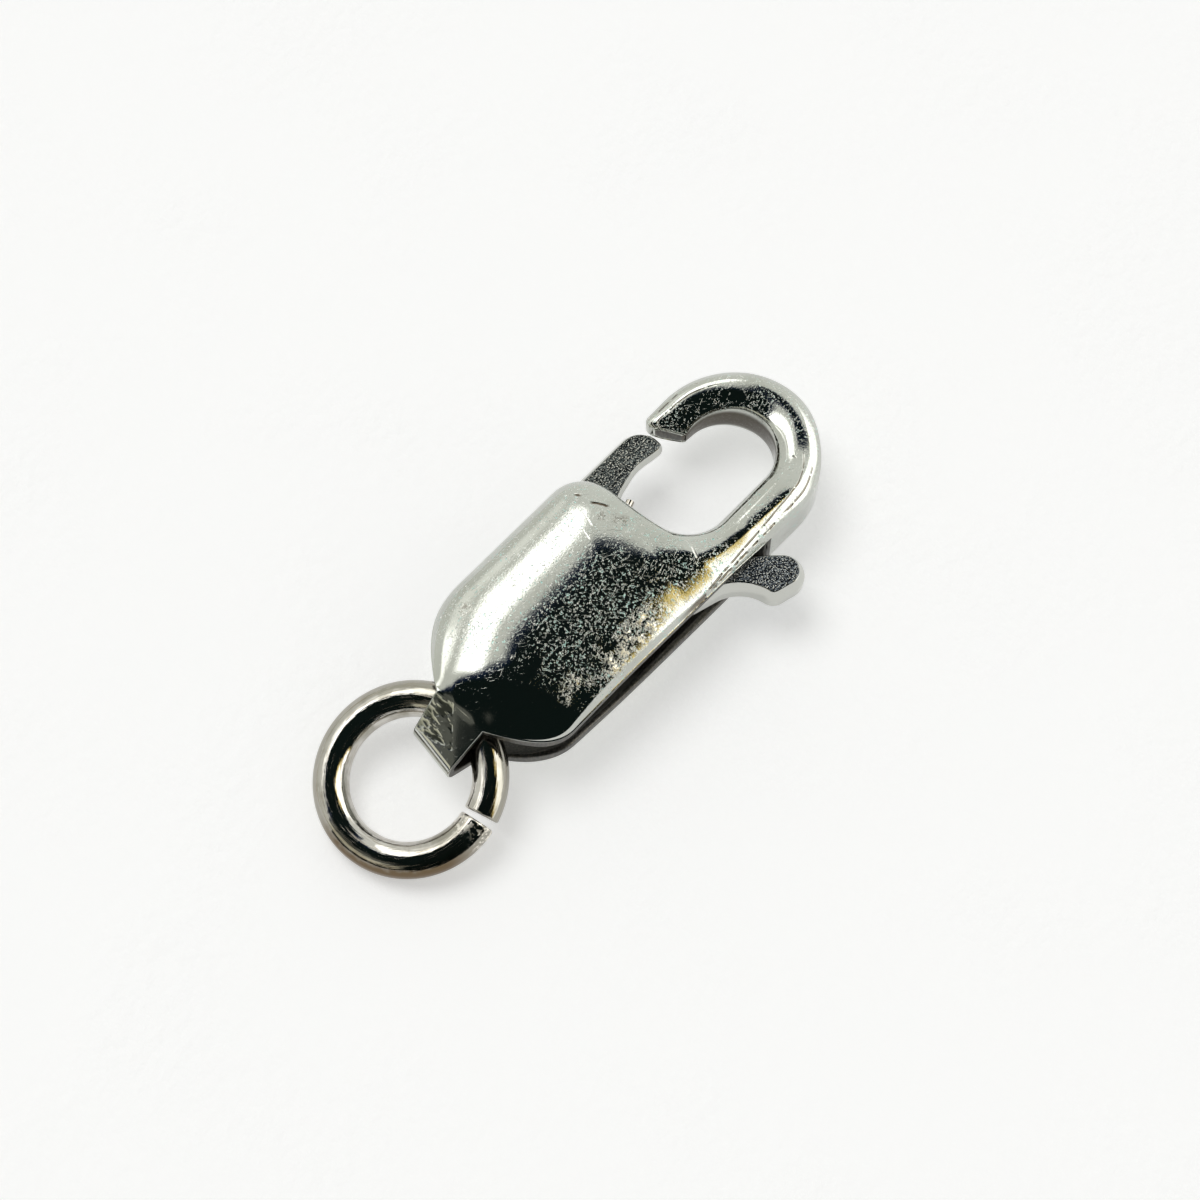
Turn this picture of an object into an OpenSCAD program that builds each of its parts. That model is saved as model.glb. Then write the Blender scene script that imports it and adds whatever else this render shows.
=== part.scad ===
// Lobster clasp with a split jump ring, in millimetres. It lies on its lower
// dome, +X runs from the ring to the hook, and the thumb tab is on the -Y side.

/* [Body shells] */
// Straight and rounded length of the shells, from the neck to the front corner
body_len = 6.9; // [6.2:0.1:8]
// Widest reach of the shells on the gate side of the axis
gate_side_w = 2.4; // [2.2:0.05:2.6]
// Reach of the shells on the thumb side, where the tail corner ends
thumb_side_w = 2.3; // [2.1:0.05:2.4]
// Height of each dome over the middle plane
crown_h = 1.5; // [1.35:0.05:1.8]
// Thickness of the sheet over the domes
sheet_t = 0.3; // [0.2:0.02:0.36]
// Open height of the slot between the two shells
slot_h = 0.95; // [0.9:0.01:1.1]
// How far the slot runs past the front edge, on the thumb side
slot_past = 1.7; // [1.6:0.05:2]
// Height of the cut edge of each shell along the slot
edge_h = 0.22; // [0.15:0.01:0.3]
// Width over which the edge of a shell rolls over
roll_w = 0.45; // [0.3:0.05:0.6]
// Length of the tail corner on the gate side
gate_tail_l = 2.5; // [2.1:0.1:3]
// Length of the tail corner on the thumb side
thumb_tail_l = 1.7; // [1.5:0.1:2.4]
// Radius of the front corner beside the gate
front_r = 1; // [0.7:0.05:1.3]

/* [Hook] */
// Radius of the round end of the eye
eye_r = 1.2; // [1.05:0.05:1.35]
// Length of the eye, from the front edge of the shells to its round end
eye_len = 4.2; // [3.9:0.05:4.8]
// Radius of the low corner of the eye, next to the front edge
eye_corner_r = 1.3; // [1:0.05:1.5]
// Width of the hook arm beyond the round end of the eye
arm_end_w = 1.25; // [1:0.05:1.5]
// Width of the hook arm at its tip
tip_w = 1.08; // [0.9:0.02:1.2]
// How far the tip reaches back from the centre of the eye's round end, on its inner side
tip_reach = 0.28; // [0:0.05:0.4]
// How much further the tip reaches on its outer side
tip_slant = 0.6; // [0.3:0.05:0.7]
// Height of the hook's root over the middle plane
root_h = 1.06; // [0.9:0.02:1.2]
// Height of the hook's bend over the middle plane
bend_h = 0.78; // [0.6:0.02:1]
// Height of the hook's tip over the middle plane
tip_h = 0.32; // [0.3:0.02:0.6]
// Half height of the side wall at the tip
tip_wall = 0.18; // [0.12:0.01:0.26]

/* [Neck and bail] */
// Distance from the end of the bail to the neck
bail_len = 1.1; // [1:0.05:1.5]
// Width of the strip at the neck
neck_w = 1.56; // [1.3:0.02:1.7]
// Width of the strip at its fold
fold_w = 1.44; // [1.2:0.02:1.6]
// Thickness of the strip round the bail
strip_t = 0.24; // [0.18:0.01:0.28]
// Inner radius of the fold
fold_r = 0.14; // [0.12:0.01:0.2]
// Slope of the strip on each side of the bail
bail_slope = 33; // [31:0.5:38]
// Turn of the fold line seen from above
fold_skew = 10; // [0:1:14]

/* [Lever] */
// Thickness of the lever plate
lever_t = 0.85; // [0.7:0.01:0.86]
// Width of the gate arm
gate_w = 1.1; // [0.95:0.01:1.2]
// Distance of the gate arm's outer side from the axis
gate_out = 2.33; // [2.25:0.01:2.36]
// Gap between the gate's tip and the tip of the hook
gate_gap = 0.25; // [0.15:0.05:0.4]
// Length of the round outer corner of the gate's tip
gate_tip_l = 0.7; // [0.4:0.02:0.8]
// Depth of the round outer corner of the gate's tip
gate_tip_d = 0.87; // [0.5:0.01:0.9]
// Pivot, behind the front edge of the shells
pivot_back = 2.15; // [2:0.05:2.4]
// Pivot, on the thumb side of the axis
pivot_side = 1; // [0.9:0.02:1.05]
// Radius of the lever round its pivot
boss_r = 1; // [0.8:0.05:1.1]
// Radius of the thumb tab's round end
thumb_r = 0.55; // [0.45:0.01:0.65]
// Reach of the thumb tab beyond the axis
thumb_out = 3.76; // [3.6:0.02:4]
// Distance of the thumb tab's centre in front of the pivot
thumb_fore = 3.6; // [3.5:0.05:3.7]
// Radius of the hollow behind the thumb tab
thumb_hollow_r = 1.1; // [0.9:0.05:1.3]

/* [Pin and spring] */
// Diameter of the pivot pin
pin_d = 0.8; // [0.6:0.05:1]
// Radial clearance of the lever on its pin
pin_fit = 0.03; // [0.02:0.01:0.06]
// Diameter of the spring wire
spring_d = 0.22; // [0.16:0.01:0.24]
// Clearance between the spring and what it lies beside
spring_gap = 0.06; // [0.04:0.01:0.1]

/* [Jump ring] */
// Outer diameter of the jump ring
ring_d = 4.95; // [4.6:0.05:5.4]
// Diameter of the ring's wire
ring_wire = 0.92; // [0.8:0.01:0.94]
// Width of the cut in the ring
ring_cut = 0.12; // [0.05:0.01:0.3]
// Direction of the cut round the ring, from the bail
cut_turn = -79; // [-120:1:-60]
// Distance of the ring's wire inside the bail, from the bail's end
ring_seat = 1.3; // [1.26:0.02:1.4]

/* [Hidden] */

// Plan of the shells and the eye
slot_z = slot_h / 2;
side_z = slot_z + edge_h;
neck_x = bail_len;
front_x = neck_x + body_len;
gate_tail_x = neck_x + gate_tail_l;
thumb_tail_x = neck_x + thumb_tail_l;
eye_x = front_x + eye_len - eye_r;
outer_r = (2 * eye_r + arm_end_w + tip_w) / 2;
outer_x = eye_x + eye_r + arm_end_w - outer_r;
outer_y = eye_r + tip_w - outer_r;
tip_in_x = eye_x - tip_reach;
tip_out_x = tip_in_x - tip_slant;

// Bail in side view: a sloping strip folded over with a small radius
fold_out_r = fold_r + strip_t;
slope_run = fold_out_r * (1 - sin(bail_slope));
slope_rise = fold_out_r * cos(bail_slope);
neck_z = slope_rise + (neck_x - slope_run) * tan(bail_slope);
neck_t = strip_t / cos(bail_slope);

// Stations along each half, from the bail round to the hook's tip, and samples across
n_tail = 8;
n_side = 3;
n_corner = 5;
n_front = 3;
n_sweep = 6;
n_arm = 3;
n_bend = 16;
n_tip = 2;
n_fold = 6;
n_across = 14;
k_neck = 1;
k_side = k_neck + n_tail;
k_corner = k_side + n_side;
k_front = k_corner + n_corner;
k_sweep = k_front + n_front;
k_arm = k_sweep + n_sweep;
k_bend = k_arm + n_arm;
k_tip = k_bend + n_bend;
k_end = k_tip + n_tip;

function mix(a, b, s) = a + (b - a) * s;
function ease(s) = s * s * (3 - 2 * s);
// Rounded tail corner: rises fast at the neck and levels off at the side
function tail_swell(s) = 1 - pow(1 - s, 2.3);
function span(k, k0, n) = (k - k0) / n;

// Outline on the side of the gate and the eye
sweep_x = front_x + eye_corner_r;
function gate_edge(k) =
    k == 0 ? [slope_run, fold_w / 2]
    : k < k_side ? let(s = pow(span(k, k_neck, n_tail), 1.4))
        [neck_x + gate_tail_l * s, mix(neck_w / 2, gate_side_w, tail_swell(s))]
    : k < k_corner ? [mix(gate_tail_x, front_x - front_r, span(k, k_side, n_side)), gate_side_w]
    : k < k_front ? let(a = 90 - 90 * span(k, k_corner, n_corner))
        [front_x - front_r + front_r * cos(a), gate_side_w - front_r + front_r * sin(a)]
    : k < k_sweep ? [front_x, mix(gate_side_w - front_r, eye_corner_r - eye_r, span(k, k_front, n_front))]
    : k < k_arm ? let(a = 180 + 90 * span(k, k_sweep, n_sweep))
        [sweep_x + eye_corner_r * cos(a), eye_corner_r - eye_r + eye_corner_r * sin(a)]
    : k < k_bend ? [mix(sweep_x, eye_x, span(k, k_arm, n_arm)), -eye_r]
    : k < k_tip ? let(a = -90 + 180 * span(k, k_bend, n_bend)) [eye_x + eye_r * cos(a), eye_r * sin(a)]
    : [mix(eye_x, tip_in_x, span(k, k_tip, n_tip)), eye_r];

// Outline on the side of the thumb tab and round the outside of the hook
thumb_side_end = outer_r - outer_y;
function thumb_side_y(x) = -mix(thumb_side_w, thumb_side_end, (x - thumb_tail_x) / (outer_x - thumb_tail_x));
function thumb_side(x) = [x, thumb_side_y(x)];
x_at_corner = front_x - 2.6 * front_r;
x_at_front = front_x - 1.2 * front_r;
x_at_sweep = front_x - 0.05 * front_r;
x_at_arm = front_x + slot_past;
function thumb_edge(k) =
    k == 0 ? [slope_run, -fold_w / 2]
    : k < k_side ? let(s = pow(span(k, k_neck, n_tail), 1.4))
        [neck_x + thumb_tail_l * s, -mix(neck_w / 2, thumb_side_w, tail_swell(s))]
    : k < k_corner ? thumb_side(mix(thumb_tail_x, x_at_corner, span(k, k_side, n_side)))
    : k < k_front ? thumb_side(mix(x_at_corner, x_at_front, span(k, k_corner, n_corner)))
    : k < k_sweep ? thumb_side(mix(x_at_front, x_at_sweep, span(k, k_front, n_front)))
    : k < k_arm ? thumb_side(mix(x_at_sweep, x_at_arm, span(k, k_sweep, n_sweep)))
    : k < k_bend ? thumb_side(mix(x_at_arm, outer_x, span(k, k_arm, n_arm)))
    : k < k_tip ? let(a = -90 + 180 * span(k, k_bend, n_bend))
        [outer_x + outer_r * cos(a), outer_y + outer_r * sin(a)]
    : [mix(outer_x, tip_out_x, span(k, k_tip, n_tip)), outer_y + outer_r];

// Height of the cut edge and of the crown at each station
arm_wall = 0.5 * side_z + 0.5 * tip_wall;
function edge_z(k) =
    k == 0 ? slope_rise
    : k < k_side ? mix(neck_z, side_z, ease(span(k, k_neck, n_tail)))
    : k < k_sweep ? side_z
    : k < k_bend ? mix(side_z, arm_wall + 0.08, ease((k - k_sweep) / (k_bend - k_sweep)))
    : k < k_tip ? mix(arm_wall + 0.08, tip_wall + 0.03, span(k, k_bend, n_bend))
    : mix(tip_wall + 0.03, tip_wall, span(k, k_tip, n_tip));
function crown_z(k) =
    k == 0 ? slope_rise
    : k < k_side ? mix(neck_z, crown_h, 1 - pow(1 - pow(span(k, k_neck, n_tail), 1.3), 2))
    : k < k_corner ? crown_h
    : k < k_arm ? mix(crown_h, root_h, ease((k - k_corner) / (k_arm - k_corner)))
    : k < k_bend + n_bend / 2 ? mix(root_h, bend_h, (k - k_arm) / (n_arm + n_bend / 2))
    : mix(bend_h, tip_h, pow((k - k_bend - n_bend / 2) / (n_bend / 2 + n_tip), 1.6));

// Profile across a station: the edge rolls over, then a shallow arch
roll_share = 0.45;
arch_power = 2.4;
function across(j) = mix(j / n_across, (1 - cos(180 * j / n_across)) / 2, 0.6);
function quarter(d, w) = sqrt(max(0, 1 - pow(1 - min(d / w, 1), 2)));
function profile(k, t, w) =
    let(r = min(roll_w, 0.45 * w), near = min(t, 1 - t) * w)
    mix(edge_z(k), crown_z(k),
        roll_share * quarter(near, r) + (1 - roll_share) * (1 - pow(abs(2 * t - 1), arch_power)));

function station_w(k) = norm(gate_edge(k) - thumb_edge(k));
function plan(k, t) = mix(gate_edge(k), thumb_edge(k), t);
function outer_z(k, t) = profile(k, t, station_w(k));
// The inside follows the outside, set in from the edges by half a sheet
wall_inset = sheet_t / 2;
function wall_t(k) = k < k_side ? mix(neck_t, sheet_t, span(k, k_neck, n_tail)) : sheet_t;
function rim_z(k) = k < k_side ? mix(neck_z - neck_t, slot_z, ease(span(k, k_neck, n_tail))) : slot_z;
function inner_z(k, t) =
    let(w = station_w(k), s = min(1, max(0, (t * w - wall_inset) / (w - 2 * wall_inset))))
    max(rim_z(k), profile(k, s, w - 2 * wall_inset) - wall_t(k));

// The slot ends in a wall across the hook's root
k_slot = k_arm;
skew = tan(fold_skew);
function fold_point(r, turn, y) = [fold_out_r + skew * y - r * cos(turn), y, r * sin(turn)];
function strip_y(j) = mix(fold_w / 2, -fold_w / 2, across(j));
fold_turn = 90 - bail_slope;
function half_row(k, side, inside) = [for (j = [0:n_across])
    let(t = across(j), p = plan(k, t))
    k == 0 ? fold_point(inside ? fold_r : fold_out_r, side * fold_turn, strip_y(j))
    : [p[0], p[1], side * (inside ? inner_z(k, t) : outer_z(k, t))]];
function fold_row(f, inside) = [for (j = [0:n_across])
    fold_point(inside ? fold_r : fold_out_r, mix(-fold_turn, fold_turn, f / n_fold), strip_y(j))];
function sheet_rows(inside) = concat(
    [for (k = [k_slot:-1:0]) half_row(k, -1, inside)],
    [for (f = [1:n_fold - 1]) fold_row(f, inside)],
    [for (k = [0:k_slot]) half_row(k, 1, inside)]);
function hook_rows(side) = [for (k = [k_slot + 1:k_end]) half_row(k, side, false)];

// Two triangles for a strip cell, clockwise seen from outside
function cell(a, b, c, d) = [[a, b, c], [a, c, d]];
function flat(lists) = [for (l = lists) for (item = l) item];

module clasp_body() {
    outside = sheet_rows(false);
    inside = sheet_rows(true);
    above = hook_rows(1);
    below = hook_rows(-1);
    m = n_across;
    row = m + 1;
    n_sheet = len(outside);
    n_hook = len(above);
    out0 = 0;
    in0 = n_sheet * row;
    up0 = 2 * n_sheet * row;
    down0 = up0 + n_hook * row;
    // The sheet's two ends carry on into the upper and lower faces of the hook
    o = function(r, j) out0 + r * row + j;
    i = function(r, j) in0 + r * row + j;
    u = function(h, j) h == 0 ? o(n_sheet - 1, j) : up0 + (h - 1) * row + j;
    d = function(h, j) h == 0 ? o(0, j) : down0 + (h - 1) * row + j;
    last = n_sheet - 1;
    skin = [for (r = [0:last - 1]) for (j = [0:m - 1])
        each cell(o(r, j), o(r + 1, j), o(r + 1, j + 1), o(r, j + 1))];
    lining = [for (r = [0:last - 1]) for (j = [0:m - 1])
        each cell(i(r, j), i(r, j + 1), i(r + 1, j + 1), i(r + 1, j))];
    cut_edges = [for (r = [0:last - 1])
        each concat(cell(o(r + 1, 0), o(r, 0), i(r, 0), i(r + 1, 0)),
            cell(o(r, m), o(r + 1, m), i(r + 1, m), i(r, m)))];
    hook_faces = [for (h = [0:n_hook - 1]) for (j = [0:m - 1])
        each concat(cell(u(h, j), u(h + 1, j), u(h + 1, j + 1), u(h, j + 1)),
            cell(d(h, j), d(h, j + 1), d(h + 1, j + 1), d(h + 1, j)))];
    hook_walls = [for (h = [1:n_hook - 1])
        each concat(cell(u(h + 1, 0), u(h, 0), d(h, 0), d(h + 1, 0)),
            cell(u(h, m), u(h + 1, m), d(h + 1, m), d(h, m)))];
    root_walls = [
        [u(1, 0), u(0, 0), i(last, 0)], [u(1, 0), i(last, 0), i(0, 0)],
        [u(1, 0), i(0, 0), d(0, 0)], [u(1, 0), d(0, 0), d(1, 0)],
        [u(1, m), d(1, m), d(0, m)], [u(1, m), d(0, m), i(0, m)],
        [u(1, m), i(0, m), i(last, m)], [u(1, m), i(last, m), u(0, m)]];
    slot_end = [for (j = [0:m - 1]) each cell(i(last, j), i(last, j + 1), i(0, j + 1), i(0, j))];
    tip_face = [for (j = [0:m - 1])
        each cell(u(n_hook, j + 1), u(n_hook, j), d(n_hook, j), d(n_hook, j + 1))];
    color("slategray")
        polyhedron(flat(concat(outside, inside, above, below)),
            concat(skin, lining, cut_edges, hook_faces, hook_walls, root_walls, slot_end, tip_face));
}

// Lever: a flat plate with the gate arm on one side and the thumb tab on the other
pivot = [front_x - pivot_back, -pivot_side];
gate_in = gate_out - gate_w;
thumb = [pivot[0] + thumb_fore, thumb_r - thumb_out];
// The gate's tip follows the slant of the hook's tip, one gap away
tip_slope = tip_slant / tip_w;
gap_run = gate_gap * sqrt(1 + tip_slope * tip_slope);
gate_end = (tip_in_x + tip_out_x) / 2 - gap_run;
gate_in_r = 0.15 * gate_w;
web_x = front_x - 0.1;
notch_x = front_x - front_r;
arc_steps = 10;
function toward(a) = [cos(a), sin(a)];
// The tab's round end and its heel lie on one tangent, and the hollow touches the heel
tab_turn = -105;
heel_turn = -172;
heel_r = 0.74 * thumb_r;
heel = thumb + (thumb_r - heel_r) * toward(tab_turn) + 0.7 * thumb_r * toward(tab_turn - 90);
hollow = heel + (heel_r + thumb_hollow_r) * toward(heel_turn);

function turn(c, rx, ry, a0, a1, n = arc_steps) = [for (i = [0:n])
    let(a = mix(a0, a1, i / n)) c + [rx * cos(a), ry * sin(a)]];

lever_outline = concat(
    turn([gate_end - gate_tip_l, gate_out - gate_tip_d], gate_tip_l, gate_tip_d, 90, 0),
    turn([gate_end - gate_in_r, gate_in + gate_in_r], gate_in_r, gate_in_r, 0, -90, 4),
    [[web_x, gate_in], [notch_x, gate_in - 0.9 * gate_w], [notch_x, pivot[1] + 0.4 * boss_r],
        [thumb[0] - 0.1 * thumb_r, thumb_side_y(thumb[0]) + 0.05]],
    turn(thumb, thumb_r, thumb_r, 45, tab_turn),
    turn(heel, heel_r, heel_r, tab_turn, heel_turn, 5),
    turn(hollow, thumb_hollow_r, thumb_hollow_r, heel_turn + 180, 75),
    turn(pivot, boss_r, boss_r, -70, -220),
    [[notch_x - 0.3, gate_out]]);

module lever() {
    color("dimgray") difference() {
        translate([0, 0, -lever_t / 2]) linear_extrude(lever_t) polygon(lever_outline);
        translate(pivot) cylinder(d = pin_d + 2 * pin_fit, h = 2 * lever_t, center = true, $fn = 64);
    }
}

// Pin: stands between the two domes, as long as the room at its outer rim allows
pin_rim = (gate_side_w + pivot_side + pin_d / 2) / (gate_side_w - thumb_side_y(pivot[0]));
pin_gap = 0.02;
pin_half = inner_z(k_side, pin_rim) - pin_gap;

module pivot_pin() {
    color("gray") translate(pivot) cylinder(d = pin_d, h = 2 * pin_half, center = true, $fn = 64);
}

// Spring: one turn of wire round the pin over the lever, with a leg to the gate's inner side
spring_r = spring_d / 2;
coil_r = pin_d / 2 + spring_gap + spring_r;
coil_z = lever_t / 2 + spring_gap + spring_r;
coil_rise = spring_d + spring_gap;
coil_steps = 20;
coil_sides = 8;
leg_low = 0.1;
leg_y = gate_in - spring_gap - spring_r;
function coil_point(s) = let(a = 150 - 405 * s)
    [pivot[0] + coil_r * cos(a), pivot[1] + coil_r * sin(a), coil_z + coil_rise * (1 - s)];
leg_route = [
    [web_x - 0.7, gate_in - 1.15 * gate_w, coil_z],
    [web_x - 0.45, gate_in - 0.95 * gate_w, coil_z - 0.2],
    [web_x - 0.25, gate_in - 0.7 * gate_w, leg_low + 0.12],
    [web_x - 0.05, gate_in - 0.45 * gate_w, leg_low],
    [web_x + 0.25, leg_y - 0.1, leg_low],
    [web_x + 0.5, leg_y, leg_low]];
tail_leg = coil_point(0) + [-0.9, -0.35, 0.02];
spring_path = concat([tail_leg], [for (s = [0:coil_steps]) coil_point(s / coil_steps)], leg_route);

function unit(v) = v / norm(v);
function heading(p, i) = unit(p[min(i + 1, len(p) - 1)] - p[max(i - 1, 0)]);
function wire_ring(p, i, r) =
    let(t = heading(p, i), a = unit(cross(t, [0, 0, 1])), b = cross(a, t))
    [for (q = [0:coil_sides - 1]) p[i] + r * (cos(360 * q / coil_sides) * a + sin(360 * q / coil_sides) * b)];

module spring() {
    p = spring_path;
    n = len(p);
    c = coil_sides;
    points = [for (i = [0:n - 1]) each wire_ring(p, i, spring_r)];
    sides = [for (i = [0:n - 2]) for (q = [0:c - 1])
        each cell(i * c + q, (i + 1) * c + q, (i + 1) * c + (q + 1) % c, i * c + (q + 1) % c)];
    ends = [[for (q = [0:c - 1]) q], [for (q = [c - 1:-1:0]) (n - 1) * c + q]];
    color("silver") polyhedron(points, concat(sides, ends));
}

// Jump ring: threaded through the bail, its far side down on the surface
ring_wire_r = ring_wire / 2;
ring_r = ring_d / 2 - ring_wire_r;
ring_tilt = asin((crown_h - ring_wire_r) / (2 * ring_r));
ring_y = 0.08;

module jump_ring() {
    cut_half = asin(ring_cut / 2 / ring_r);
    color("darkgray")
        translate([ring_seat, ring_y, 0]) rotate([0, -ring_tilt, 0]) translate([-ring_r, 0, 0])
        rotate([0, 0, cut_turn + cut_half])
        rotate_extrude(angle = 360 - 2 * cut_half, $fn = 96) translate([ring_r, 0]) circle(r = ring_wire_r, $fn = 48);
}

// The middle of the whole clasp's box goes over the origin, its lowest point at zero
ring_far = ring_seat - 2 * ring_r * cos(ring_tilt) - ring_wire_r;
hook_far = outer_x + outer_r;
low_y = -thumb_out;
high_y = max(gate_side_w, ring_y + ring_d / 2);
module placed() {
    translate([-(ring_far + hook_far) / 2, -(low_y + high_y) / 2, crown_h]) children();
}

placed() clasp_body();
placed() lever();
placed() pivot_pin();
placed() spring();
placed() jump_ring();
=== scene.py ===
"""Lobster clasp in dark polished nickel, with its split jump ring, lying on a pale table."""

import math

import bmesh
import bpy
import numpy as np
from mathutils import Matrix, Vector
from mathutils.geometry import tessellate_polygon


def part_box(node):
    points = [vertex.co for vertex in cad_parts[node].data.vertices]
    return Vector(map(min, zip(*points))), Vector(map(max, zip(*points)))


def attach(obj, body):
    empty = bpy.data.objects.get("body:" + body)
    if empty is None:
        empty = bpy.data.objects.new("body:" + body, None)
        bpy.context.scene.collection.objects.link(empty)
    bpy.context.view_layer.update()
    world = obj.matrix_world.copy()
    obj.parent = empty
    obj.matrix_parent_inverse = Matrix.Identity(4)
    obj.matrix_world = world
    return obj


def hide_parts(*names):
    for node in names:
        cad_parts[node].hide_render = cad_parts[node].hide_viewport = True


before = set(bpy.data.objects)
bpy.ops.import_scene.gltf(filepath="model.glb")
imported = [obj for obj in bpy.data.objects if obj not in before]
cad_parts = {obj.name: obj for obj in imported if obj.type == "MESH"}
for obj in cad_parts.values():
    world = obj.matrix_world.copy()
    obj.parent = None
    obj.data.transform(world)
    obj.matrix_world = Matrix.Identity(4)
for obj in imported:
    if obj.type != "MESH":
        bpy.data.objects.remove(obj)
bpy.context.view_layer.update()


# Folded sheet with shells and hook
# One strip of brass sheet is stamped into two domed shells and folded over at the bail, so that the
# shells lie face to face with a slot between them. Past the shells the metal is pressed together to
# the solid bar of the hook. It is tumbled to a soft polish and plated in dark nickel.

# Sizes are in millimetres. FAR stands for a place with no edge near it.
MM = 0.001
FAR = 9.0

body_len = 6.9
gate_side_w = 2.4
thumb_side_w = 2.3
crown_h = 1.5
sheet_t = 0.3
slot_z = 0.475
edge_h = 0.22
roll_w = 0.45
gate_tail_l = 2.5
thumb_tail_l = 1.7
front_r = 1.0
slot_past = 1.7

eye_r = 1.2
eye_len = 4.2
eye_corner_r = 1.3
arm_end_w = 1.25
tip_w = 1.08
tip_reach = 0.28
tip_slant = 0.6
root_h = 1.06
bend_h = 0.74
tip_h = 0.27
tip_wall = 0.15
tip_corner_r = 0.2
tip_turn_l = 0.12
bend_flat_in = 0.12
bend_flat_at = -45
bend_flat_reach = 28

bail_len = 1.1
neck_w = 1.56
fold_w = 1.44
strip_t = 0.24
fold_r = 0.14
bail_slope = math.radians(33)
fold_skew = math.radians(10)

cut_edge_r = 0.045
tip_edge_r = 0.09
hook_lip_w = 0.12
hook_lip_z = 0.12
arm_wall_more = 0.08
tail_lip_w = 0.1
tail_dip = 0.26
tail_dip_x = 2.1
tail_dip_before = 0.7
tail_dip_after = 1.6
tail_roll_x = 2.2
tail_roll_l = 2.3

side_z = slot_z + edge_h
neck_x = bail_len
front_x = neck_x + body_len
eye_x = front_x + eye_len - eye_r
outer_r = (2 * eye_r + arm_end_w + tip_w) / 2
outer_x = eye_x + eye_r + arm_end_w - outer_r
outer_y = eye_r + tip_w - outer_r

shell_low, shell_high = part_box("clasp_body")
ORIGIN = np.array([
    shell_high.x / MM - (outer_x + outer_r),
    shell_high.y / MM - gate_side_w,
    (shell_low.z + shell_high.z) / 2 / MM,
])


def mix(a, b, s):
    return a + (b - a) * s


def ease(s):
    return s * s * (3 - 2 * s)


def placed(points):
    """Points in the clasp's own millimetres, moved to where the frame has it."""
    return (np.asarray(points, float).reshape(-1, 3) + ORIGIN) * MM


def solid(name, points, faces, material):
    """A mesh object with its faces turned outwards."""
    data = bpy.data.meshes.new(name)
    data.from_pydata(placed(points).tolist(), [], [tuple(int(i) for i in f) for f in faces])
    shape = bmesh.new()
    shape.from_mesh(data)
    bmesh.ops.recalc_face_normals(shape, faces=shape.faces)
    shape.to_mesh(data)
    shape.free()
    data.polygons.foreach_set("use_smooth", [True] * len(data.polygons))
    piece = bpy.data.objects.new(name, data)
    bpy.context.scene.collection.objects.link(piece)
    data.materials.append(material)
    return piece


# Stretches of the outline, with the number of rows in each
TAIL, SIDE, CORNER, FRONT, SWEEP, ARM, BEND, TIP, TIP_CORNER = 36, 10, 16, 8, 20, 8, 64, 8, 9


def arc(cx, cy, r, a0, a1, n):
    a = np.radians(mix(a0, a1, np.arange(n) / n))
    return np.stack([cx + r * np.cos(a), cy + r * np.sin(a)], 1)


def run(p, q, n):
    return mix(np.array(p, float), np.array(q, float), (np.arange(n) / n)[:, None])


tail_s = (np.arange(TAIL) / TAIL) ** 1.4
tail_swell = 1 - (1 - tail_s) ** 2.3
tip_in = (eye_x - tip_reach, eye_r)
tip_turn_x = tip_in[0] + tip_turn_l
sweep_x = front_x + eye_corner_r
front_low = eye_corner_r - eye_r

gate_edge = np.concatenate([
    np.stack([neck_x + gate_tail_l * tail_s, mix(neck_w / 2, gate_side_w, tail_swell)], 1),
    run((neck_x + gate_tail_l, gate_side_w), (front_x - front_r, gate_side_w), SIDE),
    arc(front_x - front_r, gate_side_w - front_r, front_r, 90, 0, CORNER),
    run((front_x, gate_side_w - front_r), (front_x, front_low), FRONT),
    arc(sweep_x, front_low, eye_corner_r, 180, 270, SWEEP),
    run((sweep_x, -eye_r), (eye_x, -eye_r), ARM),
    arc(eye_x, 0, eye_r, -90, 90, BEND),
    run((eye_x, eye_r), (tip_turn_x, eye_r), TIP),
    run((tip_turn_x, eye_r), tip_in, TIP_CORNER - 1),
    [tip_in],
])

thumb_end = outer_r - outer_y
thumb_tail_x = neck_x + thumb_tail_l
tip_out = (tip_in[0] - tip_slant, outer_y + outer_r)
tip_way = math.atan2(tip_out[1] - tip_in[1], tip_in[0] - tip_out[0])
tip_round_x = tip_out[0] + tip_corner_r / math.tan(tip_way / 2)
tip_round = np.radians(np.linspace(90, 270 - math.degrees(tip_way), TIP_CORNER))
bend_turn = np.linspace(-90, 90, BEND, endpoint=False)
bend_r = outer_r - bend_flat_in * np.exp(-((bend_turn - bend_flat_at) / bend_flat_reach) ** 2)


def on_thumb_side(x):
    return np.array([x, -mix(thumb_side_w, thumb_end, (x - thumb_tail_x) / (outer_x - thumb_tail_x))])


thumb_stops = [
    thumb_tail_x, front_x - 2.6 * front_r, front_x - 1.2 * front_r,
    front_x - 0.05 * front_r, front_x + slot_past, outer_x,
]
thumb_edge = np.concatenate([
    np.stack([neck_x + thumb_tail_l * tail_s, -mix(neck_w / 2, thumb_side_w, tail_swell)], 1),
    *[run(on_thumb_side(a), on_thumb_side(b), n)
      for a, b, n in zip(thumb_stops, thumb_stops[1:], (SIDE, CORNER, FRONT, SWEEP, ARM))],
    np.stack([outer_x + bend_r * np.cos(np.radians(bend_turn)),
              outer_y + bend_r * np.sin(np.radians(bend_turn))], 1),
    run((outer_x, tip_out[1]), (tip_round_x, tip_out[1]), TIP),
    np.stack([tip_round_x + tip_corner_r * np.cos(tip_round),
              tip_out[1] - tip_corner_r + tip_corner_r * np.sin(tip_round)], 1),
])

rows = len(gate_edge)
row_side = TAIL
row_corner = row_side + SIDE
row_sweep = row_corner + CORNER + FRONT
row_root = row_sweep + SWEEP
row_bend = row_root + ARM
row = np.arange(rows)


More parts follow.
